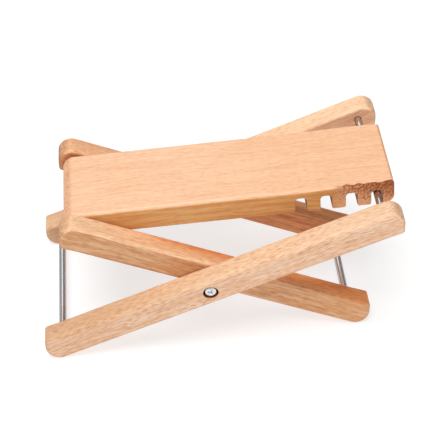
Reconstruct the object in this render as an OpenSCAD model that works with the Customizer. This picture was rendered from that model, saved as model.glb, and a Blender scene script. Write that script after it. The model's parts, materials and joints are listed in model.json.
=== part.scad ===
// Folding foot rest of beech and steel. Two outer legs and two inner legs cross like scissors, and a
// notched board hinged between the inner legs drops over a rod that joins the outer legs.
// Millimetres. +X runs along the board towards its notched end, +Z is up, and the origin is on the
// floor under the middle of the bounding box.

/* [Legs] */
// Width over the two outer legs
overall_w = 138; // [132:1:150]
// Thickness of a leg across the frame
leg_t = 17; // [15:0.5:18]
// Height of a leg's section
leg_h = 20; // [20:0.5:22]
// Slope of every leg above the floor, in degrees
leg_slope = 22.9; // [22:0.1:24]
// Gap that a washer keeps between an outer and an inner leg
side_gap = 0.8; // [0.6:0.1:1.2]
// From the pivot to the plumb cut of an outer leg's foot
outer_foot_reach = 115.2; // [114:0.1:116]
// From the pivot to the plumb cut of an inner leg's foot
inner_foot_reach = 114.9; // [114:0.1:115]
// From the pivot to the plumb cut of an outer leg's upper end
outer_head_reach = 129.9; // [128:0.1:133]
// From the pivot to the plumb cut of an inner leg's upper end
inner_head_reach = 100.3; // [98:0.1:101]
// Radius of the pointed corner at an outer leg's ends
tip_r = 9.8; // [9.6:0.1:9.9]
// Radius of the blunt corner at each end of a leg
heel_r = 2.5; // [1:0.5:4]

/* [Rods] */
// Diameter of the four rods
rod_d = 5; // [4.5:0.1:5.2]
// Depth of a rod's blind hole in a leg
rod_hole_depth = 11; // [8:0.5:12]
// From the pivot to the outer foot rod, along the leg
outer_rod_s = 111.8; // [111.5:0.1:112.5]
// From the pivot to the latch rod, along the leg
latch_s = 127; // [126.9:0.1:127.4]
// Height of the latch rod above the leg's centre line
latch_rise = 1; // [0.8:0.1:1.2]
// From the pivot to the inner foot rod, along the leg
inner_rod_s = 108.3; // [107:0.1:109]
// From the pivot to the hinge rod, along the leg
hinge_s = 93.2; // [92.8:0.1:93.6]

/* [Board] */
// Thickness of the board
board_t = 18.2; // [18:0.1:19]
// Space between the board and an inner leg
board_side_gap = 0.7; // [0.5:0.1:1]
// From the hinge to the board's rounded end
board_tail = 11.2; // [10.5:0.1:12]
// From the last notch to the board's other end
board_nose = 12; // [11.9:0.1:13]
// Radius of the two corners at the hinge end
tail_r = 8.5; // [6:0.5:9]
// Radius of the lower corner at the notched end
nose_r = 6.5; // [4:0.5:6.5]
// Number of notches
notch_count = 4; // [3:1:5]
// Distance between notches
notch_pitch = 17.4; // [16:0.1:18]
// Width of a notch
notch_w = 7.8; // [7.7:0.1:7.9]
// Radius of the two corners at the crown of a notch
notch_crown_r = 3; // [2:0.5:3.5]
// Wood left above a notch
notch_roof = 6.4; // [5.5:0.1:7]
// Radius of the corners at a notch's mouth
notch_mouth_r = 1.5; // [1:0.5:2]

/* [Pivot screws] */
// Diameter of a pivot screw's shank
screw_d = 4; // [3.5:0.5:5]
// Diameter of its pan head
head_d = 8; // [7.5:0.5:8.5]
// Height of its pan head
head_h = 3; // [2.5:0.1:3]
// Diameter of the counterbore in the outer leg
counterbore_d = 10.6; // [10.4:0.1:12]
// Depth of the counterbore
counterbore_depth = 4.2; // [4:0.1:5]
// Outer diameter of the threaded insert
insert_d = 6.4; // [6:0.2:8]
// Length of the threaded insert
insert_l = 12; // [8:0.5:14]

/* [Hidden] */
$fn = 64;

beech = [0.91, 0.73, 0.53];
board_beech = [0.95, 0.77, 0.57];
steel = [0.72, 0.73, 0.75];
zinc = [0.80, 0.81, 0.83];
brass = [0.78, 0.63, 0.32];

running_clearance = 0.08;  // on radius, round the hinge rod and the pivot screws
rest_gap = 0.3;            // between the latch rod and the crown of its notch
latch_offset = 0.2;        // the latch rod lies this far past the notch's middle
washer_t = 0.8;
head_washer_d = 9.6;
spacer_washer_d = 12;
washer_hole_d = 4.4;
head_crown_r = 9;          // dome of a pan head
screw_tip_gap = 1;         // from the screw's tip to the bottom of the insert
countersink = 0.5;         // chamfer at the mouth of a rod's hole
groove_w = 1;              // grooves round the threaded insert
groove_depth = 0.25;
over = 1;                  // cutters reach this far past the wood

half_w = overall_w / 2;
outer_in = half_w - leg_t;             // inner face of an outer leg
inner_out = outer_in - side_gap;       // outer face of an inner leg
inner_in = inner_out - leg_t;          // inner face of an inner leg
board_w = 2 * (inner_in - board_side_gap);
head_seat = half_w - counterbore_depth + washer_t;

pivot_x = (outer_foot_reach - outer_head_reach) / 2;
// A foot stands on its rounded tip. The outer tips set the pivot's height, and the inner tips are
// rounded so that they reach the floor too.
tip_lift = 1 / tan((90 - leg_slope) / 2) - 1;
function tip_depth(reach) = leg_h / 2 / cos(leg_slope) + reach * tan(leg_slope);
pivot_z = tip_depth(outer_foot_reach) - tip_r * tip_lift;
inner_tip_r = (tip_depth(inner_foot_reach) - pivot_z) / tip_lift;

// Places of the hinge and of the latch rod, seen from the side, from the pivot
hinge_at = [-hinge_s * cos(leg_slope), hinge_s * sin(leg_slope)];
latch_at = [
    latch_s * cos(leg_slope) - latch_rise * sin(leg_slope),
    latch_s * sin(leg_slope) + latch_rise * cos(leg_slope)
];
// The board lies on the latch rod, which sets its tilt
rod_below_hinge = notch_roof + rod_d / 2 + rest_gap - board_t / 2;
reach = norm(latch_at - hinge_at);
board_tilt = atan2(latch_at[1] - hinge_at[1], latch_at[0] - hinge_at[0]) + asin(rod_below_hinge / reach);
last_notch = sqrt(reach * reach - rod_below_hinge * rod_below_hinge) - latch_offset;
board_end = last_notch + board_nose;

function unit(v) = v / norm(v);

// A corner's fillet: where it leaves the edges towards a and b, and its centre
function fillet(p, a, b, r) =
    let (u = unit(a - p), v = unit(b - p), half = acos(u * v) / 2)
    [p + u * r / tan(half), p + v * r / tan(half), p + unit(u + v) * r / sin(half)];

// A convex outline with a radius of its own at each corner
module rounded_outline(points, radii) {
    n = len(points);
    fillets = [
        for (i = [0 : n - 1]) fillet(points[i], points[(i + n - 1) % n], points[(i + 1) % n], radii[i])
    ];
    difference() {
        polygon(points);
        for (i = [0 : n - 1]) {
            polygon([fillets[i][0], 2 * points[i] - fillets[i][2], fillets[i][1], fillets[i][2]]);
        }
    }
    for (i = [0 : n - 1]) {
        translate(fillets[i][2]) circle(radii[i]);
    }
}

// Stands an outline up and gives it thickness from y0 to y1
module upright(y0, y1) {
    translate([0, y1, 0]) rotate([90, 0, 0]) linear_extrude(y1 - y0) children();
}

// A round bar or hole along Y, at s along the leg and n above its centre line
module along_y(s, n, y0, y1, d) {
    translate([s, y0, n]) rotate([-90, 0, 0]) cylinder(d = d, h = y1 - y0);
}

// Leg frames: s runs from the pivot up the leg, n is square to it
module on_outer_legs() {
    translate([pivot_x, 0, pivot_z]) rotate([0, -leg_slope, 0]) children();
}

module on_inner_legs() {
    translate([pivot_x, 0, pivot_z]) rotate([0, leg_slope, 0]) mirror([1, 0, 0]) children();
}

// Board frame: origin on the hinge, X along the board
module on_board() {
    translate([pivot_x + hinge_at[0], 0, pivot_z + hinge_at[1]]) rotate([0, -board_tilt, 0]) children();
}

// Side outline of a leg, cut plumb at both ends as it stands
function cut_s(x, n) = (x + n * sin(leg_slope)) / cos(leg_slope);

module leg_outline(foot_reach, head_reach, tip_r) {
    half_h = leg_h / 2;
    rounded_outline(
        [
            [cut_s(-foot_reach, -half_h), -half_h],
            [cut_s(head_reach, -half_h), -half_h],
            [cut_s(head_reach, half_h), half_h],
            [cut_s(-foot_reach, half_h), half_h]
        ],
        [tip_r, heel_r, tip_r, heel_r]
    );
}

// A blind hole for a rod, from the leg's inner face at y towards +Y, with a chamfered mouth
module rod_hole(s, n, y) {
    along_y(s, n, y - over, y + rod_hole_depth, rod_d);
    translate([s, y - over, n]) rotate([-90, 0, 0])
        cylinder(d1 = rod_d + 2 * (countersink + over), d2 = rod_d, h = countersink + over);
}

module outer_leg() {
    color(beech) on_outer_legs() difference() {
        upright(outer_in, half_w) leg_outline(outer_foot_reach, outer_head_reach, tip_r);
        along_y(0, 0, outer_in - over, half_w + over, screw_d + 2 * running_clearance);
        along_y(0, 0, half_w - counterbore_depth, half_w + over, counterbore_d);
        rod_hole(-outer_rod_s, 0, outer_in);
        rod_hole(latch_s, latch_rise, outer_in);
    }
}

module inner_leg() {
    color(beech) on_inner_legs() difference() {
        upright(inner_in, inner_out) leg_outline(inner_foot_reach, inner_head_reach, inner_tip_r);
        along_y(0, 0, inner_out - insert_l, inner_out + over, insert_d);
        rod_hole(-inner_rod_s, 0, inner_in);
        rod_hole(hinge_s, 0, inner_in);
    }
}

module outer_leg_near() { mirror([0, 1, 0]) outer_leg(); }

module outer_leg_far() { outer_leg(); }

module inner_leg_near() { mirror([0, 1, 0]) inner_leg(); }

module inner_leg_far() { inner_leg(); }

// A rod between two legs, with both ends at the bottom of their holes
module cross_rod(s, n, y_in) {
    end = y_in + rod_hole_depth;
    color(steel) along_y(s, n, -end, end, rod_d);
}

module outer_foot_rod() { on_outer_legs() cross_rod(-outer_rod_s, 0, outer_in); }

module latch_rod() { on_outer_legs() cross_rod(latch_s, latch_rise, outer_in); }

module inner_foot_rod() { on_inner_legs() cross_rod(-inner_rod_s, 0, inner_in); }

// The board turns on the hinge rod
module hinge_rod() { on_inner_legs() cross_rod(hinge_s, 0, inner_in); }

// What a notch takes out of the board's side outline
module notch() {
    half = notch_w / 2;
    crown_r = notch_crown_r;
    mouth_r = notch_mouth_r;
    under_z = -board_t / 2;
    crown_z = board_t / 2 - notch_roof;
    translate([-half, under_z - over]) square([notch_w, crown_z - crown_r - under_z + over]);
    translate([crown_r - half, under_z]) square([notch_w - 2 * crown_r, crown_z - under_z]);
    for (side = [-1, 1]) {
        translate([side * (half - crown_r), crown_z - crown_r]) circle(crown_r);
    }
    difference() {
        translate([-half - mouth_r, under_z - over]) square([notch_w + 2 * mouth_r, mouth_r + over]);
        for (side = [-1, 1]) {
            translate([side * (half + mouth_r), under_z + mouth_r]) circle(mouth_r);
        }
    }
}

module foot_board() {
    half_t = board_t / 2;
    color(board_beech) on_board() difference() {
        upright(-board_w / 2, board_w / 2) difference() {
            rounded_outline(
                [[-board_tail, -half_t], [board_end, -half_t], [board_end, half_t], [-board_tail, half_t]],
                [tail_r, nose_r, heel_r, tail_r]
            );
            for (i = [0 : notch_count - 1]) {
                translate([last_notch - i * notch_pitch, 0]) notch();
            }
        }
        along_y(0, 0, -board_w / 2 - over, board_w / 2 + over, rod_d + 2 * running_clearance);
    }
}

// Half section of a pan head, standing on its seat
module pan_head_section() {
    intersection() {
        square([head_d / 2, head_h]);
        translate([0, head_h - head_crown_r]) circle(head_crown_r);
    }
}

// Far side's pivot hardware; the near side mirrors it
module pivot_screw() {
    slot_w = 1;
    slot_l = 4.6;
    slot_depth = 1.5;
    color(zinc) on_outer_legs() difference() {
        union() {
            along_y(0, 0, inner_out - insert_l + screw_tip_gap, head_seat, screw_d);
            translate([0, head_seat, 0]) rotate([-90, 0, 0]) rotate_extrude() pan_head_section();
        }
        for (a = [45, 135]) {
            rotate([0, a, 0]) translate([-slot_l / 2, head_seat + head_h - slot_depth, -slot_w / 2])
                cube([slot_l, slot_depth + over, slot_w]);
        }
    }
}

module washer(y, d) {
    color(steel) on_outer_legs() difference() {
        along_y(0, 0, y, y + washer_t, d);
        along_y(0, 0, y - over, y + washer_t + over, washer_hole_d);
    }
}

module threaded_insert() {
    color(brass) on_inner_legs() difference() {
        along_y(0, 0, inner_out - insert_l, inner_out, insert_d);
        along_y(0, 0, inner_out - insert_l - over, inner_out + over, screw_d);
        for (i = [1 : 3]) {
            y = inner_out - i * insert_l / 4;
            difference() {
                along_y(0, 0, y, y + groove_w, insert_d + over);
                along_y(0, 0, y - over, y + groove_w + over, insert_d - 2 * groove_depth);
            }
        }
    }
}

module pivot_screw_near() { mirror([0, 1, 0]) pivot_screw(); }

module pivot_screw_far() { pivot_screw(); }

module head_washer_near() { mirror([0, 1, 0]) washer(head_seat - washer_t, head_washer_d); }

module head_washer_far() { washer(head_seat - washer_t, head_washer_d); }

module spacer_washer_near() { mirror([0, 1, 0]) washer(inner_out, spacer_washer_d); }

module spacer_washer_far() { washer(inner_out, spacer_washer_d); }

module threaded_insert_near() { mirror([0, 1, 0]) threaded_insert(); }

module threaded_insert_far() { threaded_insert(); }

outer_leg_near();
outer_leg_far();
outer_foot_rod();
latch_rod();
inner_leg_near();
inner_leg_far();
inner_foot_rod();
hinge_rod();
foot_board();
pivot_screw_near();
pivot_screw_far();
head_washer_near();
head_washer_far();
spacer_washer_near();
spacer_washer_far();
threaded_insert_near();
threaded_insert_far();
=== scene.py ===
# Looks of the folding foot rest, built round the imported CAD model. Sizes and places in the named
# values are in millimetres, and everything in Blender is in metres.
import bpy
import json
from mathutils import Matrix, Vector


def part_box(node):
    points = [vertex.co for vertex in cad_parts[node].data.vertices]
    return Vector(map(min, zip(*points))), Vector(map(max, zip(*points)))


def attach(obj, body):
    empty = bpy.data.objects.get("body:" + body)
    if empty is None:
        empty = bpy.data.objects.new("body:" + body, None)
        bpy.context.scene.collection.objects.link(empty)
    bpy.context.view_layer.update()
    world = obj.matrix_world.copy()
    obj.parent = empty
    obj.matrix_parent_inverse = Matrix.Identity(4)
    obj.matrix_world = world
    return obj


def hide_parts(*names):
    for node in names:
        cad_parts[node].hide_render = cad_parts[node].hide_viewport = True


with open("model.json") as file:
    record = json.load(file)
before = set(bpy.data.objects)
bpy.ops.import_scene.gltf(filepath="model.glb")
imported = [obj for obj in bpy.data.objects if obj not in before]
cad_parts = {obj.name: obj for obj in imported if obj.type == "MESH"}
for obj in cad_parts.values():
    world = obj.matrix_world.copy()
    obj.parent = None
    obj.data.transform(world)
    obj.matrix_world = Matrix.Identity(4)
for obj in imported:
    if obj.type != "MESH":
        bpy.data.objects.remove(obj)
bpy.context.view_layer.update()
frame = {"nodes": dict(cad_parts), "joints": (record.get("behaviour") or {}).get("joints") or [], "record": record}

import json
import math

import bmesh
import bpy
from mathutils import Matrix, Vector

MM = 0.001

# ---------------------------------------------------------------- sizes that the boxes don't give
LEG_H = 20.0
TIP_R = 9.8                # a leg's end has one round corner
HEEL_R = 2.5               # and one blunt one
LEG_EDGE_R = 3.0
HEEL_EDGE_R = 2.3
EDGE_EASE = 12.0           # the edge radius settles this far from a blunt corner

ROD_R = 2.5
ROD_CHAMFER = 0.6
ROD_HOLE_DEPTH = 11.0
ROD_HOLE_FLARE = 0.5
FIT_GAP = 0.05             # round a rod fixed in its hole
TURN_GAP = 0.08            # round a pin that turns in its bore

BOARD_T = 18.2
BOARD_NOSE = 12.0          # from the last notch to the board's end
BOARD_TAIL = 11.2          # from the hinge to its other end
TAIL_R = 8.5
NOSE_R = 6.5
NOSE_TOP_R = 2.5
BOARD_TOP_EDGE = 3.0       # edge radii
BOARD_TOP_EDGE_NOTCHED = 1.2
BOARD_UNDER_EDGE = 1.8
NOSE_UNDER_EDGE = 1.2
NOSE_TOP_EDGE = 1.6
NOTCH_EDGE = 0.7
NARROW_FROM = 70.0         # the top edge narrows between these distances from the notched end
NARROW_TO = 20.0
NARROW_FIRST = 10.0        # its points start this far from that end and reach this much further
NARROW_REACH = 60.0
NARROW_POINTS = 12

NOTCH_COUNT = 4
NOTCH_PITCH = 17.4
NOTCH_W = 7.8
NOTCH_ROOF = 6.4           # wood left over a notch
NOTCH_CROWN_R = 3.0
NOTCH_MOUTH_R = 1.5
LATCH_OFFSET = 0.2         # how far the latch rod lies past the last notch's middle

SHANK_R = 2.0
SHANK_TIP_CHAMFER = 0.5
NECK_FILLET = 0.15         # between the shank and the head
THREAD_PITCH = 0.7
THREAD_DEPTH = 0.35
THREAD_RUNOUT = 0.3        # plain shank left under the head
THREAD_ROWS = 6            # rows of points in a turn of the thread
HEAD_R = 4.0
HEAD_H = 3.0
HEAD_CROWN_R = 9.0         # radius of the head's dome
HEAD_CHAMFER = 0.2
HEAD_RIM = 0.15            # width of the bevel round the dome
HEAD_CROWN_POINTS = 10
RECESS_SPAN = 4.6          # the cross recess
RECESS_W = 1.05
RECESS_DEPTH = 1.7
RECESS_LIP = 0.2           # the depth at which its walls start to taper
RECESS_FLOOR = 0.45        # share of the span that its floor has
RECESS_ANGLES = (45, 135)

COUNTERBORE_R = 5.3
COUNTERBORE_DEPTH = 4.2
COUNTERBORE_FLARE = 0.35
INSERT_R = 3.2
INSERT_L = 12.0
INSERT_FLARE = 0.2

HEAD_WASHER_R = 4.8
SPACER_WASHER_R = 6.0
WASHER_HOLE_R = 2.2
WASHER_HOLE_CHAMFER = 0.1
WASHER_ROUNDING = 0.22     # of its outer rim
WASHER_ARC_IN = 0.06       # the rounding's middle point, in from the rim
WASHER_ARC_DOWN = 0.08     # and down from the face

CUT_REACH = 1.0            # how far a cutter runs past a face
SAME_POINT = 1e-3          # outline points nearer than this are one

# ---------------------------------------------------------------- places read from the frame
joints = {j["name"]: j for j in frame["joints"]}
pivot = Vector(joints["leg_fold"]["pos_m"]) / MM
hinge = Vector(joints["board_lift"]["pos_m"]) / MM


def box_mm(node):
    lo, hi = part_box(node)
    return lo / MM, hi / MM


def centre_mm(node):
    lo, hi = box_mm(node)
    return (lo + hi) / 2


foot_rod = centre_mm("outer_foot_rod")
slope = math.atan2(pivot.z - foot_rod.z, pivot.x - foot_rod.x)
mount = next(m for m in frame["record"]["mounts"] if m["name"] == "foot_surface")
tilt = math.atan2(-mount["axis"][0], mount["axis"][2])


def along_leg(point, direction):
    """s along a leg from the pivot and n above its centre line, for a point seen from the side.
    direction is 1 for an outer leg and -1 for an inner one."""
    dx, dz = (point.x - pivot.x) * direction, point.z - pivot.z
    c, s = math.cos(slope), math.sin(slope)
    return dx * c + dz * s, -dx * s + dz * c


outer_lo, outer_hi = box_mm("outer_leg_far")
inner_lo, inner_hi = box_mm("inner_leg_far")
board_lo, board_hi = box_mm("foot_board")
latch = centre_mm("latch_rod")
latch_s, latch_n = along_leg(latch, 1)
outer_rod_s = along_leg(foot_rod, 1)[0]
inner_rod_s = along_leg(centre_mm("inner_foot_rod"), -1)[0]
hinge_s = along_leg(hinge, -1)[0]
latch_x = (latch.x - hinge.x) * math.cos(tilt) + (latch.z - hinge.z) * math.sin(tilt)
last_notch = latch_x - LATCH_OFFSET

# the inner tips reach the floor like the outer ones
tip_lift = 1 / math.tan((math.pi / 2 - slope) / 2) - 1
inner_foot_drop = (inner_hi.x - pivot.x) * math.tan(slope) - pivot.z
inner_tip_r = (LEG_H / 2 / math.cos(slope) + inner_foot_drop) / tip_lift

# ---------------------------------------------------------------- outlines and meshes


def smoothstep(share):
    share = max(0, min(1, share))
    return share * share * (3 - 2 * share)


def rounded(corners, step_deg=9):
    """Samples a closed outline, anticlockwise, from corners (x, z, corner radius, edge radius)."""
    n = len(corners)
    points = []
    for i, (x, z, r, edge) in enumerate(corners):
        p = Vector((x, z))
        u = (Vector(corners[i - 1][:2]) - p).normalized()
        v = (Vector(corners[(i + 1) % n][:2]) - p).normalized()
        half = math.acos(max(-1, min(1, u.dot(v)))) / 2
        if r <= 0 or half > math.radians(89):
            points.append((p, edge))
            continue
        centre = p + (u + v).normalized() * r / math.sin(half)
        start = p + u * r / math.tan(half) - centre
        end = p + v * r / math.tan(half) - centre
        turn = math.atan2(start.x * end.y - start.y * end.x, start.dot(end))
        steps = max(2, round(abs(math.degrees(turn)) / step_deg))
        for k in range(steps + 1):
            a = turn * k / steps
            c, s = math.cos(a), math.sin(a)
            turned = Vector((start.x * c - start.y * s, start.x * s + start.y * c))
            points.append((centre + turned, edge))
    clean = []
    for q in points:
        if not clean or (q[0] - clean[-1][0]).length > SAME_POINT:
            clean.append(q)
    if (clean[0][0] - clean[-1][0]).length <= SAME_POINT:
        clean.pop()
    return clean


def outward(points):
    """Outward normals of a closed anticlockwise outline, lengthened so that an inset keeps its width."""
    normals = []
    n = len(points)
    for i in range(n):
        a = (points[i][0] - points[i - 1][0]).normalized()
        b = (points[(i + 1) % n][0] - points[i][0]).normalized()
        na, nb = Vector((a.y, -a.x)), Vector((b.y, -b.x))
        m = (na + nb).normalized()
        normals.append(m / max(0.5, m.dot(na)))
    return normals


def plank(outline, y0, y1, steps=6):
    """A solid between y0 and y1 with this side outline and its long edges rounded over."""
    normals = outward(outline)
    rings = []
    for side, y_face in ((-1, y0), (1, y1)):
        order = range(steps + 1) if side < 0 else range(steps, -1, -1)
        for k in order:
            a = math.pi / 2 * k / steps
            ring = []
            for (p, edge), m in zip(outline, normals):
                q = p - m * edge * (1 - math.sin(a))
                ring.append(Vector((q.x, y_face - side * edge * (1 - math.cos(a)), q.y)) * MM)
            rings.append(ring)
    bm = bmesh.new()
    verts = [[bm.verts.new(co) for co in ring] for ring in rings]
    for a, b in zip(verts, verts[1:]):
        bridge(bm, a, b)
    bm.faces.new(list(reversed(verts[0])))
    bm.faces.new(verts[-1])
    bmesh.ops.recalc_face_normals(bm, faces=bm.faces)
    return bm


def bridge(bm, a, b):
    """Faces between two closed rings of vertices, either of which may be a single point."""
    n = max(len(a), len(b))
    for k in range(n):
        m = (k + 1) % n
        if len(a) == 1:
            bm.faces.new((a[0], b[k], b[m]))
        elif len(b) == 1:
            bm.faces.new((a[k], b[0], a[m]))
        else:
            bm.faces.new((a[k], a[m], b[m], b[k]))


def ring_round_y(bm, r, y, segments, radius_at=None):
    """A ring of vertices round Y, or a single one where r is 0."""
    if r == 0:
        return [bm.verts.new((0, y * MM, 0))]
    ring = []
    for k in range(segments):
        a = 2 * math.pi * k / segments
        rr = radius_at(r, y, a) if radius_at else r
        ring.append(bm.verts.new((rr * math.cos(a) * MM, y * MM, rr * math.sin(a) * MM)))
    return ring


def lathe(profile, segments=48, radius_at=None, closed=False):
    """A solid turned round Y from (radius, y) pairs. The first and last radius are 0, or else closed
    is true and the pairs go round a loop. radius_at gives the radius at (r, y, angle)."""
    bm = bmesh.new()
    rings = [ring_round_y(bm, r, y, segments, radius_at) for r, y in profile]
    for a, b in zip(rings, rings[1:] + rings[:1] if closed else rings[1:]):
        bridge(bm, a, b)
    bmesh.ops.recalc_face_normals(bm, faces=bm.faces)
    return bm


def drill(radius, y0, y1, flare=0.0, flare_at=0):
    """A cutter for a round hole from y0 to y1. flare rounds the rim of the hole at its y1 end when
    flare_at is 1, and at its y0 end when it is -1."""
    profile = [(0, y0), (radius, y0), (radius, y1), (0, y1)]
    if flare:
        arc = []
        steps = 5
        for k in range(steps + 1):
            a = math.pi / 2 * k / steps
            arc.append((radius + flare * (1 - math.cos(a)), -flare * (1 - math.sin(a))))
        if flare_at > 0:
            profile = [(0, y0), (radius, y0)] + [(r, y1 + d) for r, d in arc]
            profile += [(radius + flare, y1 + CUT_REACH), (0, y1 + CUT_REACH)]
        else:
            profile = [(0, y0 - CUT_REACH), (radius + flare, y0 - CUT_REACH)]
            profile += [(r, y0 - d) for r, d in reversed(arc)] + [(radius, y1), (0, y1)]
    return lathe(profile, segments=40)


def new_object(name, bm, matrix=None):
    mesh = bpy.data.meshes.new(name)
    bm.to_mesh(mesh)
    bm.free()
    obj = bpy.data.objects.new(name, mesh)
    bpy.context.scene.collection.objects.link(obj)
    if matrix is not None:
        obj.matrix_world = matrix
    return obj


def bake_modifiers(obj):
    bpy.context.view_layer.update()
    depsgraph = bpy.context.evaluated_depsgraph_get()
    mesh = bpy.data.meshes.new_from_object(obj.evaluated_get(depsgraph))
    old = obj.data
    obj.modifiers.clear()
    obj.data = mesh
    name = old.name
    bpy.data.meshes.remove(old)
    mesh.name = name


def cut(obj, cutters):
    """Takes the cutters' meshes, given in obj's own axes, out of obj."""
    tools = []
    for i, (bm, at) in enumerate(cutters):
        tool = new_object(f"cutter_{i}", bm, obj.matrix_world @ Matrix.Translation(Vector(at) * MM))
        modifier = obj.modifiers.new(f"cut_{i}", "BOOLEAN")
        modifier.operation = "DIFFERENCE"
        modifier.solver = "EXACT"
        modifier.object = tool
        tools.append(tool)
    bake_modifiers(obj)
    for tool in tools:
        mesh = tool.data
        bpy.data.objects.remove(tool)
        bpy.data.meshes.remove(mesh)


def smooth(obj, angle=35):
    """Smooth shading with flat faces kept flat and edges sharper than angle kept sharp."""
    obj.data.shade_smooth()
    obj.data.set_sharp_from_angle(angle=math.radians(angle))
    modifier = obj.modifiers.new("normals", "WEIGHTED_NORMAL")
    modifier.keep_sharp = True
    modifier.weight = 100
    bake_modifiers(obj)


def finish_piece(obj, body, material, node):
    """Puts a piece made in its own axes into the row frame, dresses it and hangs it on its body."""
    obj.data.transform(obj.matrix_world)
    obj.matrix_world = Matrix.Identity(4)
    obj.data.materials.clear()
    obj.data.materials.append(material)
    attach(obj, body)
    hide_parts(node)


# ---------------------------------------------------------------- node helpers
MIX_FACTOR, MIX_A, MIX_B, MIX_RESULT = 0, 6, 7, 2    # a colour mix node's sockets


class Nodes:
    """A small wrapper that adds nodes to a material and links them."""

    def __init__(self, name):
        self.material = bpy.data.materials.new(name)
        self.material.use_nodes = True
        self.tree = self.material.node_tree
        self.shader = self.tree.nodes["Principled BSDF"]

    def place(self, origin, turn):
        """The point in millimetres and the normal split into X, Y and Z, both in axes at origin
        turned by turn about Y."""
        source = self.add("ShaderNodeTexCoord")
        turned = (0, turn, 0)
        point = self.add("ShaderNodeMapping", {
            "Vector": source.outputs["Object"], "Location": Vector(origin) * MM, "Rotation": turned,
            "Scale": (MM, MM, MM)}, vector_type="TEXTURE")
        normal = self.add("ShaderNodeMapping", {
            "Vector": source.outputs["Normal"], "Rotation": turned}, vector_type="TEXTURE")
        return point.outputs[0], self.split(normal.outputs[0])

    def add(self, kind, values=(), **settings):
        node = self.tree.nodes.new(kind)
        for key, value in settings.items():
            setattr(node, key, value)
        for key, value in dict(values).items():
            self.feed(node, key, value)
        return node

    def feed(self, node, key, value):
        """Links a socket to the node's input, or sets the input where value is a plain value."""
        if isinstance(value, bpy.types.NodeSocket):
            self.tree.links.new(value, node.inputs[key])
        else:
            node.inputs[key].default_value = value

    def split(self, vector):
        return self.add("ShaderNodeSeparateXYZ", {0: vector}).outputs

    def math(self, operation, a, b=0.0):
        return self.add("ShaderNodeMath", {0: a, 1: b}, operation=operation).outputs[0]

    def size(self, value):
        return self.math("ABSOLUTE", value)

    def product(self, a, b):
        return self.math("MULTIPLY", a, b)

    def vector(self, operation, a, b):
        return self.add("ShaderNodeVectorMath", {0: a, 1: b}, operation=operation).outputs[0]

    def noise(self, vector, scale=1.0, detail=2.0, roughness=0.5, distortion=0.0):
        return self.add("ShaderNodeTexNoise", {
            "Vector": vector, "Scale": scale, "Detail": detail, "Roughness": roughness,
            "Distortion": distortion}).outputs["Fac"]

    def figure(self, point, fineness, **settings):
        """Noise that is stretched by a fineness for each axis."""
        return self.noise(self.vector("MULTIPLY", point, fineness), **settings)

    def ramp(self, value, low, high, to_low=0.0, to_high=1.0):
        return self.add("ShaderNodeMapRange", {
            "Value": value, "From Min": low, "From Max": high, "To Min": to_low, "To Max": to_high},
            interpolation_type="SMOOTHSTEP").outputs["Result"]

    def mix(self, factor, a, b, blend="MIX"):
        node = self.add("ShaderNodeMix", {MIX_FACTOR: factor}, data_type="RGBA", blend_type=blend,
                        clamp_factor=True)
        for key, colour in ((MIX_A, a), (MIX_B, b)):
            self.feed(node, key, (*colour, 1) if isinstance(colour, tuple) else colour)
        return node.outputs[MIX_RESULT]

    def deepen(self, colour, amount, tone):
        """The colour multiplied by tone, as far as amount says."""
        return self.mix(amount, colour, self.mix(1.0, colour, tone, "MULTIPLY"))

    def link(self, output, name):
        self.tree.links.new(output, self.shader.inputs[name])

    def bump(self, height, strength, distance):
        node = self.add("ShaderNodeBump", {
            "Height": height, "Strength": strength, "Distance": distance})
        self.link(node.outputs["Normal"], "Normal")

    def set(self, **values):
        for key, value in values.items():
            self.shader.inputs[key.replace("_", " ")].default_value = value


def srgb(r, g, b):
    """A linear colour from an sRGB one given from 0 to 255."""
    return tuple(((c / 255 + 0.055) / 1.055) ** 2.4 if c > 10 else c / 255 / 12.92 for c in (r, g, b))


def times(colour, k):
    return tuple(c * k for c in colour)


# ---------------------------------------------------------------- wood
# what each figure multiplies the wood's tone by
STREAK = (0.9, 0.76, 0.64)
PALE = (1.05, 1.06, 1.07)         # the lines between streaks
FLECK = (0.78, 0.52, 0.42)
SHADE_BAND = (0.84, 0.66, 0.56)         # darker grain bands inside the painted shade of the inner legs
# painted shade on the lower roundovers and undersides
UNDERSIDE_SHADE = (0.85, 0.64, 0.48)
# painted shade deep in the counterbore round the pivot
BORE_SHADE = (0.3, 0.14, 0.08)
TOP_HEARTWOOD = (0.62, 0.42, 0.2)    # heartwood that looks upward

# how fine each figure is along the grain, across it and up: about that many features a millimetre
WANDER = (0.012, 0.05, 0.05)
SLOW_TONE = (0.008, 0.11, 0.11)
GROWTH = (0.009, 0.5, 0.5)
FINE = (0.07, 1.1, 1.1)
SIDE_LINES = (0.03, 0.5, 0.5)
SMALL_DASHES = (0.16, 1.35, 1.55)
LONG_DASHES = (0.14, 0.8, 0.95)
GRIT = (0.25, 1.4, 1.4)
BANDS = (0.022, 0.16, 0.16)
PORES = (0.5, 3.2, 3.2)
END_RINGS = (0.02, 0.25, 0.75)
RAGGED = (0.22, 0.02, 0.12)
SCALLOPS = (0.13, 0.0, 0.0)

SEED_STEP = (137.0, 31.0, 57.0)   # how far a seed of 1 moves the figure
WANDER_Y = 8.0                    # how far the grain wanders across and up
WANDER_Z = 14.0
SHADE_DRIFT = 0.09                  # how fast the painted shade widens along the top of a leg
SLANT_DEG = -50                   # the slant of the heartwood's grain
SLANT_SIZE = (2.4, 1.6, 0.9)      # and the size of its features
HEART_WANDER = 10.0               # how far the heartwood's start wanders,
HEART_ONSET = 14.0                # the length over which it sets in,
HEART_REACH = 50.0                # the length over which it darkens towards +X,
HEART_RISE = 0.011                # and how much darker it is for each millimetre up
HEART_BEFORE_NOTCH = 29.0         # it starts this far before the last notch
HEART_EDGE_IN = 2.2               # and this far in from the near side
END_GRAIN = (0.45, 0.85, (0.7, 0.62, 0.54))


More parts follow.
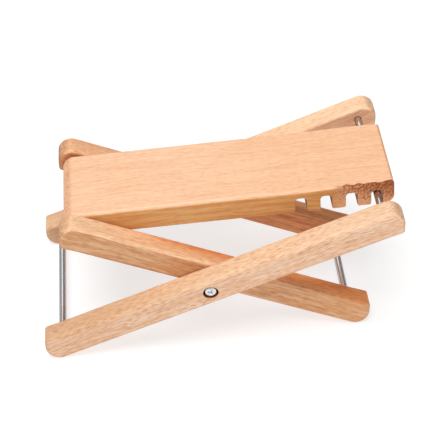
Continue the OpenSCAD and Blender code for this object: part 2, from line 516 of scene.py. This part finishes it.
def painted_inner_shade(n, colour, place, side, grain, inner_shade):
    """Painted shade, redder and darker, towards the inner side of a leg where the board shades it, wider along the
    top, with darker grain bands in it.
    """
    outer_y, inner_y, x0, x1, shade_tone = inner_shade
    drift = n.product(n.ramp(side, 1.0, 0.0), n.product(place["X"], SHADE_DRIFT))
    depth = n.ramp(n.math("SUBTRACT", n.size(place["Y"]), drift), outer_y, inner_y)
    amount = n.product(depth, n.ramp(place["X"], x0, x1))
    colour = n.deepen(colour, amount, shade_tone)
    bands = n.ramp(n.figure(grain, BANDS), 0.48, 0.62, 0.0, 0.8)
    return n.deepen(colour, n.product(amount, bands), SHADE_BAND)


def painted_bore_shade(n, colour, place, shaded_bore):
    """Painted shade on the wall of a hole round the origin, darker deeper in."""
    radius, mouth_y = shaded_bore
    squares = [n.math("POWER", place[axis], 2.0) for axis in "XZ"]
    from_axis = n.math("SQRT", n.math("ADD", *squares))
    sunk = n.ramp(n.size(place["Y"]), mouth_y - 0.4, mouth_y - 1.6)
    wall = n.ramp(from_axis, radius + 0.3, radius + 0.05)
    return n.deepen(colour, n.product(sunk, wall), BORE_SHADE)


def heartwood(n, colour, place, across, level, p, patch):
    """Red heartwood with slanting grain that pales low down, and painted shade on the faces that look neither up
    nor along Y, such as the notches' walls.
    Gives the colour and where the heartwood is."""
    start, edge, pale, dark, wall = patch
    ragged_x = n.math("ADD", place["X"], n.product(n.figure(p, RAGGED), HEART_WANDER))
    where = n.ramp(ragged_x, start, start + HEART_ONSET)
    scallops = n.ramp(n.figure(p, SCALLOPS, detail=1), 0.3, 0.7, -0.4, 1.35)
    front = n.ramp(n.math("ADD", place["Y"], scallops), edge + 0.3, edge - 0.1)
    slant = n.add("ShaderNodeMapping", {
        "Vector": p, "Rotation": (0, math.radians(SLANT_DEG), 0), "Scale": SLANT_SIZE},
        vector_type="TEXTURE")
    grains = n.noise(slant.outputs[0], detail=3, roughness=0.65)
    height = n.product(place["Z"], HEART_RISE)
    length = n.ramp(place["X"], start, start + HEART_REACH, -0.07, 0.08)
    depth = n.math("ADD", n.math("ADD", grains, height), length)
    heart = n.mix(n.ramp(depth, 0.34, 0.66), pale, dark)
    on_top = n.mix(1.0, heart, TOP_HEARTWOOD, "MULTIPLY")
    heart = n.mix(n.ramp(level, 0.2, 0.8), heart, on_top)
    inside = n.product(where, front)
    colour = n.mix(n.product(inside, 0.95), colour, heart)
    # painted shade on the faces that look neither up nor along Y: the notches' walls and crowns, the ends and the
    # underside
    painted_shade = n.product(n.ramp(across, 0.6, 0.3), n.ramp(level, 0.3, 0.1))
    return n.deepen(colour, painted_shade, wall), inside


def beech(name, seed, origin, turn, face, top, spread=(-110, 60), flecks=1.0, streaks=1.0,
          ends=END_GRAIN, inner_shade=None, shaded_bore=None, patch=None):
    """Lacquered beech whose grain runs along X in axes at origin turned by turn about Y. seed picks
    the piece of figure. face is the tone of the sides that look along Y and top that of the others,
    each as a pair of colours that blend into one another over spread. flecks and streaks are how
    strong those are. ends says how far a surface faces along the grain before it is end grain, and
    the tone of that. The last three are for some pieces only:
    inward is (|y| at the outer side, |y| at the inner side, x, x, tone). Painted shade darkens the wood by
    tone towards the inner side, past the second x, with darker grain bands in it.
    bore is the radius and the |y| of the mouth of a hole round the origin whose wall gets painted shade.
    patch is (start, edge, pale, dark, wall). There is heartwood from pale to dark past x = start and
    out from a scalloped line at y = edge, and wall is the tone of painted shade on the faces that look
    neither up nor along Y, such as the notches' walls."""
    n = Nodes(name)
    here, normal = n.place(origin, turn)
    place = n.split(here)
    p = n.vector("ADD", here, times(SEED_STEP, seed))
    end = n.ramp(n.size(normal["X"]), *ends[:2])
    across = n.size(normal["Y"])
    level = normal["Z"]
    side = n.math("MAXIMUM", n.ramp(across, 0.86, 0.97), n.ramp(level, 0.4, 0.05))
    # where painted shade darkens the lower roundovers and undersides
    under = n.product(n.ramp(level, -0.1, -0.6), n.ramp(across, 0.05, 0.4))

    # the grain wanders up and down a little along the piece
    bend = n.math("SUBTRACT", n.figure(p, WANDER), 0.5)
    sway = n.add("ShaderNodeCombineXYZ", {1: n.product(bend, WANDER_Y), 2: n.product(bend, WANDER_Z)})
    grain = n.vector("ADD", p, sway.outputs[0])

    def dashes(fineness, least, most):
        """Short dashes. A random number from 0 to 1 sets how strong each one is: none at least and
        full at most."""
        cells = n.add("ShaderNodeTexVoronoi", {
            "Vector": n.vector("MULTIPLY", grain, fineness), "Scale": 1.0, "Randomness": 1.0})
        chance = n.split(cells.outputs["Color"])["X"]
        return n.product(n.ramp(cells.outputs["Distance"], 0.62, 0.1), n.ramp(chance, least, most))

    tone = n.figure(grain, SLOW_TONE)
    growth = n.figure(grain, GROWTH, detail=3, roughness=0.6)
    fine = n.figure(grain, FINE, detail=3, roughness=0.65)
    lines = n.ramp(n.figure(grain, SIDE_LINES), 0.42, 0.6, 0.0, 1.1 * streaks)
    small = dashes(SMALL_DASHES, -0.4, 0.7)
    long = dashes(LONG_DASHES, 0.3, 0.9)
    grit = n.figure(grain, GRIT, roughness=0.7)

    along = n.ramp(place["X"], *spread)
    colour = n.mix(side, n.mix(along, *top), n.mix(along, *face))
    for amount, tint in (
            (n.ramp(tone, 0.35, 0.68, 0.0, 0.3 * streaks), STREAK),
            (n.ramp(growth, 0.48, 0.66, 0.0, 0.4 * streaks), STREAK),
            (n.ramp(fine, 0.45, 0.7, 0.0, 0.5 * streaks), STREAK),
            (n.product(side, lines), STREAK),
            (n.ramp(fine, 0.52, 0.34, 0.0, 0.7 * streaks), PALE),
            (n.ramp(grit, 0.5, 0.75, 0.0, 0.4 * flecks), FLECK),
            (n.product(small, 0.85 * flecks), FLECK),
            (n.product(long, 0.25 * flecks), FLECK),
            (n.product(under, 0.8), UNDERSIDE_SHADE)):
        colour = n.deepen(colour, amount, tint)

    # painted shade on the inner legs towards the board
    if inner_shade:
        colour = painted_inner_shade(n, colour, place, side, grain, inner_shade)
    # painted shade on the counterbore's wall, darker deeper in
    if shaded_bore:
        colour = painted_bore_shade(n, colour, place, shaded_bore)

    # end grain is deeper in tone and pored
    rings = n.ramp(n.figure(p, END_RINGS, distortion=0.8), 0.38, 0.62, 0.4, 0.95)
    pores = n.ramp(n.figure(p, PORES), 0.52, 0.75, 0.0, 0.45)
    colour = n.deepen(colour, n.product(end, rings), ends[2])
    colour = n.deepen(colour, n.product(end, pores), FLECK)

    roughness = n.ramp(fine, 0.2, 0.8, 0.42, 0.52)
    if patch:
        colour, inside = heartwood(n, colour, place, across, level, p, patch)
        roughness = n.math("ADD", roughness, n.product(inside, 0.35))

    n.link(colour, "Base Color")
    n.link(roughness, "Roughness")
    relief = n.math("SUBTRACT", n.product(fine, 0.6), n.product(small, 0.5))
    n.bump(relief, 0.12, 0.00025)
    n.set(Coat_Weight=0.06, Coat_Roughness=0.3, Specular_IOR_Level=0.4)
    return n.material


inner_span = (inner_hi.y, inner_lo.y)
counterbore = (COUNTERBORE_R, outer_hi.y)
leg_wood = {
    "outer_leg_near": beech(
        "beech_outer_near", 1.0, pivot, -slope, flecks=1.2, streaks=0.6, shaded_bore=counterbore,
        face=(srgb(240, 204, 171), srgb(248, 214, 183)),
        top=(srgb(222, 184, 146), srgb(244, 209, 173))),
    "outer_leg_far": beech(
        "beech_outer_far", 2.3, pivot, -slope, flecks=0.8, streaks=0.8, shaded_bore=counterbore,
        face=(srgb(207, 170, 132), srgb(236, 196, 162)),
        top=(srgb(231, 193, 154), srgb(252, 216, 178))),
    "inner_leg_near": beech(
        "beech_inner_near", 3.7, pivot, slope, flecks=0.9, streaks=1.5, spread=(0, 90),
        face=(srgb(227, 183, 139), srgb(235, 191, 145)),
        top=(srgb(245, 204, 164), srgb(245, 204, 164)),
        # painted shade towards the inner side, where the board shades the leg
        inner_shade=(*inner_span, -70, -25, (1.0, 0.62, 0.34))),
    "inner_leg_far": beech(
        "beech_inner_far", 5.1, pivot, slope, flecks=0.9, streaks=1.5, spread=(10, 60),
        face=(srgb(207, 152, 107), srgb(234, 175, 126)),
        top=(srgb(240, 190, 148), srgb(240, 190, 148)),
        # painted shade towards the inner side, where the board shades the leg
        inner_shade=(*inner_span, -80, -50, (1.0, 0.88, 0.7))),
}
board_wood = beech(
    "beech_board", 6.4, hinge, -tilt, flecks=0.45, streaks=0.9, spread=(60, 190),
    face=(srgb(227, 174, 112), srgb(222, 165, 99)),
    top=(srgb(247, 203, 166), srgb(247, 200, 161)),
    ends=(0.12, 0.6, (0.8, 0.61, 0.49)),
    patch=(last_notch - HEART_BEFORE_NOTCH, board_lo.y + HEART_EDGE_IN,
           # the last tone is for painted shade on the faces that look neither up nor along Y
           srgb(237, 180, 134), srgb(158, 74, 20), (0.36, 0.28, 0.25)))

# ---------------------------------------------------------------- metals
DRAWN = (3.5, 0.06, 3.5)      # marks that run along Y, as on a drawn rod
TUMBLED = (1.6, 1.6, 1.6)     # marks that run every way
CLOUD = (0.12, 0.05, 0.12)


def metal(name, colour, roughness, scratch, marking, rim=1.0):
    """Polished or plated metal with fine marks. scratch is what they add to its roughness, and rim
    is what is left of its shine at a grazing angle."""
    n = Nodes(name)
    p, _ = n.place((0, 0, 0), 0)
    marks = n.figure(p, marking, detail=4, roughness=0.65)
    cloud = n.figure(p, CLOUD, detail=3)
    tint = n.mix(n.ramp(marks, 0.3, 0.7, 0.0, 0.6), colour, times(colour, 0.86))
    tint = n.mix(n.ramp(cloud, 0.45, 0.7, 0.0, 0.25), tint, times(colour, 0.74))
    n.link(tint, "Base Color")
    n.link(n.ramp(marks, 0.25, 0.75, roughness, roughness + scratch), "Roughness")
    n.bump(marks, 0.06, 0.00008)
    n.set(Metallic=1.0, Specular_Tint=(rim, rim * 0.95, rim * 0.9, 1))
    return n.material


steel = metal("polished_rod_steel", (0.84, 0.85, 0.87), 0.18, 0.12, DRAWN, 0.1)
zinc = metal("zinc_plate", (0.78, 0.80, 0.83), 0.2, 0.14, TUMBLED)
# near-black, so that the head washer in the counterbore stands in for painted shade round the screw head; the
# spacer washers share it
dark_steel = metal("washer_steel_dark_as_shade", (0.10, 0.06, 0.045), 0.4, 0.2, TUMBLED, 0.5)
brass = metal("insert_brass_metal", (0.62, 0.44, 0.17), 0.26, 0.2, TUMBLED)

# ---------------------------------------------------------------- legs


def leg(node):
    """One leg, with its holes, in its own axes: X along the grain, Y across the frame."""
    outer, far = node.startswith("outer"), node.endswith("far")
    lo, hi = (outer_lo, outer_hi) if outer else (inner_lo, inner_hi)
    direction = 1 if outer else -1
    foot = (pivot.x - lo.x) if outer else (hi.x - pivot.x)
    head = (hi.x - pivot.x) if outer else (pivot.x - lo.x)
    half = LEG_H / 2

    def cut_s(x, n):
        """s where the upright end of the leg at x meets its side at n."""
        return (x + n * math.sin(slope)) / math.cos(slope)

    tip = TIP_R if outer else inner_tip_r
    e = LEG_EDGE_R
    corners = [
        (cut_s(-foot, -half), -half, tip, e),
        (cut_s(head, -half) - EDGE_EASE, -half, 0, e),
        (cut_s(head, -half), -half, HEEL_R, HEEL_EDGE_R),
        (cut_s(head, half), half, tip, e),
        (cut_s(-foot, half) + EDGE_EASE, half, 0, e),
        (cut_s(-foot, half), half, HEEL_R, HEEL_EDGE_R),
    ]
    if not outer:
        corners = [(-x, z, r, edge) for x, z, r, edge in reversed(corners)]
    y0, y1 = (lo.y, hi.y) if far else (-hi.y, -lo.y)
    matrix = Matrix.Translation(pivot * MM) @ Matrix.Rotation(-slope * direction, 4, "Y")
    obj = new_object("visual_" + node, plank(rounded(corners), y0, y1), matrix)

    inside, outside = (y0, y1) if far else (y1, y0)
    into = 1 if far else -1

    def hole(s, z, radius, depth, mouth, sense, flare):
        """A cutter and its place, for a hole from mouth towards +Y where sense is 1, or -Y."""
        a, b = sorted((mouth, mouth + sense * depth))
        return drill(radius, a, b, flare, -sense), (s * direction, 0, z)

    rods = [(outer_rod_s, 0.0), (latch_s, latch_n)] if outer else [(inner_rod_s, 0.0), (hinge_s, 0.0)]
    cutters = [hole(s, z, ROD_R + FIT_GAP, ROD_HOLE_DEPTH + FIT_GAP, inside, into, ROD_HOLE_FLARE)
               for s, z in rods]
    if outer:
        cutters.append(hole(0, 0, COUNTERBORE_R, COUNTERBORE_DEPTH, outside, -into, COUNTERBORE_FLARE))
        cutters.append((drill(SHANK_R + TURN_GAP, y0 - CUT_REACH, y1 + CUT_REACH), (0, 0, 0)))
    else:
        cutters.append(hole(0, 0, INSERT_R, INSERT_L, outside, -into, INSERT_FLARE))
    cut(obj, cutters)
    smooth(obj)
    finish_piece(obj, "outer_frame" if outer else "inner_frame", leg_wood[node], node)


for leg_node in leg_wood:
    leg(leg_node)

# ---------------------------------------------------------------- board


def board():
    """The board in its own axes: X from the hinge towards the notched end, Y across the frame."""
    ht = BOARD_T / 2
    end = last_notch + BOARD_NOSE
    corners = [(-BOARD_TAIL, -ht, TAIL_R, BOARD_UNDER_EDGE)]
    for i in reversed(range(NOTCH_COUNT)):
        x, r = last_notch - i * NOTCH_PITCH, NOTCH_W / 2
        crown = ht - NOTCH_ROOF
        corners += [
            (x - r, -ht, NOTCH_MOUTH_R, NOTCH_EDGE), (x - r, crown, NOTCH_CROWN_R, NOTCH_EDGE),
            (x + r, crown, NOTCH_CROWN_R, NOTCH_EDGE), (x + r, -ht, NOTCH_MOUTH_R, NOTCH_EDGE),
        ]
    corners += [(end, -ht, NOSE_R, NOSE_UNDER_EDGE), (end, ht, NOSE_TOP_R, NOSE_TOP_EDGE)]
    for k in range(NARROW_POINTS, 0, -1):
        x = end - NARROW_FIRST - NARROW_REACH * (1 - k / NARROW_POINTS)
        share = smoothstep((x - (end - NARROW_FROM)) / (NARROW_FROM - NARROW_TO))
        edge = BOARD_TOP_EDGE + (BOARD_TOP_EDGE_NOTCHED - BOARD_TOP_EDGE) * share
        corners.append((x, ht, 0, edge))
    corners.append((-BOARD_TAIL, ht, TAIL_R, BOARD_TOP_EDGE))
    matrix = Matrix.Translation(hinge * MM) @ Matrix.Rotation(-tilt, 4, "Y")
    obj = new_object("visual_foot_board", plank(rounded(corners), board_lo.y, board_hi.y), matrix)
    hinge_bore = drill(ROD_R + TURN_GAP, board_lo.y - CUT_REACH, board_hi.y + CUT_REACH)
    cut(obj, [(hinge_bore, (0, 0, 0))])
    smooth(obj)
    finish_piece(obj, "board", board_wood, "foot_board")


board()

# ---------------------------------------------------------------- rods


def rod(node, body):
    """A steel rod with chamfered ends, round its own Y axis."""
    lo, hi = box_mm(node)
    half = (hi.y - lo.y) / 2
    at = (lo + hi) / 2
    c, r = ROD_CHAMFER, ROD_R
    profile = [(0, -half), (r - c, -half), (r, -half + c), (r, 0), (r, half - c), (r - c, half),
               (0, half)]
    obj = new_object("visual_" + node, lathe(profile, 64), Matrix.Translation(at * MM))
    smooth(obj)
    finish_piece(obj, body, steel, node)


rod("outer_foot_rod", "outer_frame")
rod("latch_rod", "outer_frame")
rod("inner_foot_rod", "inner_frame")
rod("hinge_rod", "inner_frame")

# ---------------------------------------------------------------- pivot screws and washers
pivot_axis = Matrix.Translation(Vector((pivot.x, 0, pivot.z)) * MM)


def thread_radius(r, y, angle):
    """Radius of the screw at this height and angle: threaded where its profile is the shank."""
    if abs(r - SHANK_R) > 0.01:
        return r
    phase = (y / THREAD_PITCH - angle / (2 * math.pi)) % 1
    return SHANK_R - THREAD_DEPTH * abs(2 * phase - 1)


def recess_arm(angle, top):
    """A cutter for one tapering slot of the cross recess."""
    bm = bmesh.new()
    levels = []
    for share, y in ((1.0, top + CUT_REACH), (1.0, top - RECESS_LIP), (RECESS_FLOOR, top - RECESS_DEPTH)):
        x, z = RECESS_SPAN / 2 * share, RECESS_W / 2 * (0.5 + share / 2)
        corners = ((-x, y, -z), (x, y, -z), (x, y, z), (-x, y, z))
        levels.append([bm.verts.new(Vector(co) * MM) for co in corners])
    for a, b in zip(levels, levels[1:]):
        bridge(bm, a, b)
    bm.faces.new(levels[0])
    bm.faces.new(list(reversed(levels[-1])))
    bmesh.ops.rotate(bm, verts=bm.verts, cent=(0, 0, 0), matrix=Matrix.Rotation(angle, 3, "Y"))
    bmesh.ops.recalc_face_normals(bm, faces=bm.faces)
    return bm


def pivot_screw(node, far):
    """A pan-head screw with a cut thread, round the pivot, its head at +Y in its own axes."""
    lo, hi = box_mm(node)
    top = hi.y if far else -lo.y
    tip = lo.y if far else -hi.y
    seat = top - HEAD_H
    c = SHANK_TIP_CHAMFER
    profile = [(0, tip), (SHANK_R - c, tip), (SHANK_R, tip + c)]
    thread = seat - THREAD_RUNOUT - tip
    count = int(thread / (THREAD_PITCH / THREAD_ROWS))
    profile += [(SHANK_R, tip + c + k * (thread - c) / count) for k in range(1, count)]
    profile += [(SHANK_R, seat - NECK_FILLET), (SHANK_R + NECK_FILLET, seat),
                (HEAD_R - HEAD_CHAMFER, seat), (HEAD_R, seat + HEAD_CHAMFER)]

    crown_y = top - HEAD_CROWN_R
    rim = math.asin((HEAD_R - HEAD_RIM) / HEAD_CROWN_R)
    profile.append((HEAD_R, crown_y + HEAD_CROWN_R * math.cos(rim) - HEAD_CHAMFER))
    for k in range(HEAD_CROWN_POINTS, 0, -1):
        a = rim * k / HEAD_CROWN_POINTS
        profile.append((HEAD_CROWN_R * math.sin(a), crown_y + HEAD_CROWN_R * math.cos(a)))
    profile.append((0, top))

    matrix = (pivot_axis @ Matrix.Rotation(-slope, 4, "Y")
              @ Matrix.Rotation(0 if far else math.pi, 4, "X"))
    obj = new_object("visual_" + node, lathe(profile, 48, thread_radius), matrix)
    cut(obj, [(recess_arm(math.radians(a), top), (0, 0, 0)) for a in RECESS_ANGLES])
    smooth(obj, 30)
    finish_piece(obj, "inner_frame", zinc, node)


def washer(node, radius):
    """A washer with its hole chamfered and its outer rim rounded over on both faces."""
    lo, hi = box_mm(node)
    y0, y1 = lo.y, hi.y
    r, hole, c, b = radius, WASHER_HOLE_R, WASHER_ROUNDING, WASHER_HOLE_CHAMFER
    arc_r, arc_y = r - WASHER_ARC_IN, WASHER_ARC_DOWN
    profile = [(hole, y0 + b), (hole + b, y0), (r - c, y0), (arc_r, y0 + arc_y), (r, y0 + c),
               (r, y1 - c), (arc_r, y1 - arc_y), (r - c, y1), (hole + b, y1), (hole, y1 - b)]
    obj = new_object("visual_" + node, lathe(profile, closed=True), pivot_axis)
    smooth(obj)
    finish_piece(obj, "inner_frame", dark_steel, node)


for side in ("near", "far"):
    pivot_screw("pivot_screw_" + side, side == "far")
    washer("head_washer_" + side, HEAD_WASHER_R)
    washer("spacer_washer_" + side, SPACER_WASHER_R)
    insert = frame["nodes"]["threaded_insert_" + side]
    insert.data.materials.clear()
    insert.data.materials.append(brass)

# ---------------------------------------------------------------- floor, light and camera
# the floor and the lights are in metres
FLOOR_HALF = 8.0
FLOOR_TONES = ((0.36, 0.36, 0.36), (0.38, 0.38, 0.38))
FLOOR_GLOW = 0.7
HORIZON = 0.25      # the studio's brightness low down and overhead
ZENITH = 0.36
DIM_SIDE = 0.6      # what is left of it towards +X
AIM_HEIGHT = 0.05
LIGHTS = (          # name, place, diameter, watts
    ("key", (-0.7, -1.1, 4.2), 2.6, 160.0),
    ("fill", (1.6, -2.6, 1.8), 2.0, 10.0),
    ("panel", (-0.35, 1.9, 1.58), 1.0, 2.4),
)

# the camera's place and lens, in degrees and millimetres
AZIMUTH = math.radians(4.64)
ELEVATION = math.radians(40.07)
ROLL = math.radians(0.08)
DISTANCE = 1058.7
LENS = 124.87
SENSOR = 36.0
AIM = Vector((1.11, 0.0, 65.61))


def floor():
    """A pale floor that glows a little, so that it renders nearly white."""
    bm = bmesh.new()
    corners = [(-1, -1), (1, -1), (1, 1), (-1, 1)]
    bm.faces.new([bm.verts.new((x * FLOOR_HALF, y * FLOOR_HALF, 0)) for x, y in corners])
    obj = new_object("floor", bm)
    paper = Nodes("paper_floor")
    source = paper.add("ShaderNodeTexCoord")
    mottle = paper.noise(source.outputs["Object"], scale=3.0)
    paper.link(paper.mix(mottle, *FLOOR_TONES), "Base Color")
    paper.set(Roughness=0.9, Specular_IOR_Level=0.1, Emission_Color=(1, 1, 1, 1),
              Emission_Strength=FLOOR_GLOW)
    obj.data.materials.append(paper.material)


def studio():
    """A pale dome of light that is brighter overhead and dimmer towards +X."""
    world = bpy.data.worlds.new("studio")
    world.use_nodes = True
    bpy.context.scene.world = world
    tree = world.node_tree

    def map_range(value, low, high, to_low, to_high, interpolation):
        node = tree.nodes.new("ShaderNodeMapRange")
        node.interpolation_type = interpolation
        tree.links.new(value, node.inputs["Value"])
        for name, number in (("From Min", low), ("From Max", high), ("To Min", to_low),
                             ("To Max", to_high)):
            node.inputs[name].default_value = number
        return node.outputs["Result"]

    source = tree.nodes.new("ShaderNodeTexCoord")
    split = tree.nodes.new("ShaderNodeSeparateXYZ")
    tree.links.new(source.outputs["Generated"], split.inputs[0])
    dome = map_range(split.outputs["Z"], 0.0, 0.7, HORIZON, ZENITH, "SMOOTHSTEP")
    sides = map_range(split.outputs["X"], -0.1, 0.5, 1.0, DIM_SIDE, "LINEAR")
    product = tree.nodes.new("ShaderNodeMath")
    product.operation = "MULTIPLY"
    tree.links.new(dome, product.inputs[0])
    tree.links.new(sides, product.inputs[1])
    tree.links.new(product.outputs[0], tree.nodes["Background"].inputs["Strength"])
    tree.nodes["Background"].inputs["Color"].default_value = (1, 1, 1, 1)


def lights():
    for name, at, size, power in LIGHTS:
        light = bpy.data.lights.new(name, "AREA")
        light.shape = "DISK"
        light.size = size
        light.energy = power
        obj = bpy.data.objects.new(name, light)
        obj.location = at
        aim = Vector((0, 0, AIM_HEIGHT)) - Vector(at)
        obj.rotation_euler = aim.to_track_quat("-Z", "Y").to_euler()
        bpy.context.scene.collection.objects.link(obj)


def camera():
    level = math.cos(ELEVATION)
    forward = Vector((math.sin(AZIMUTH) * level, math.cos(AZIMUTH) * level, -math.sin(ELEVATION)))
    right = Vector((math.cos(AZIMUTH), -math.sin(AZIMUTH), 0))
    up = right.cross(forward)
    turn = Matrix.Rotation(ROLL, 3, forward)
    right, up = turn @ right, turn @ up
    data = bpy.data.cameras.new("camera")
    data.sensor_fit = "HORIZONTAL"
    data.sensor_width = SENSOR
    data.lens = LENS
    data.clip_start = 0.05
    data.clip_end = 30.0
    obj = bpy.data.objects.new("camera", data)
    place = Matrix((right, up, -forward)).transposed().to_4x4()
    place.translation = (AIM - forward * DISTANCE) * MM
    obj.matrix_world = place
    bpy.context.scene.collection.objects.link(obj)
    bpy.context.scene.camera = obj


floor()
studio()
lights()
camera()
bpy.context.scene.view_settings.view_transform = "Standard"
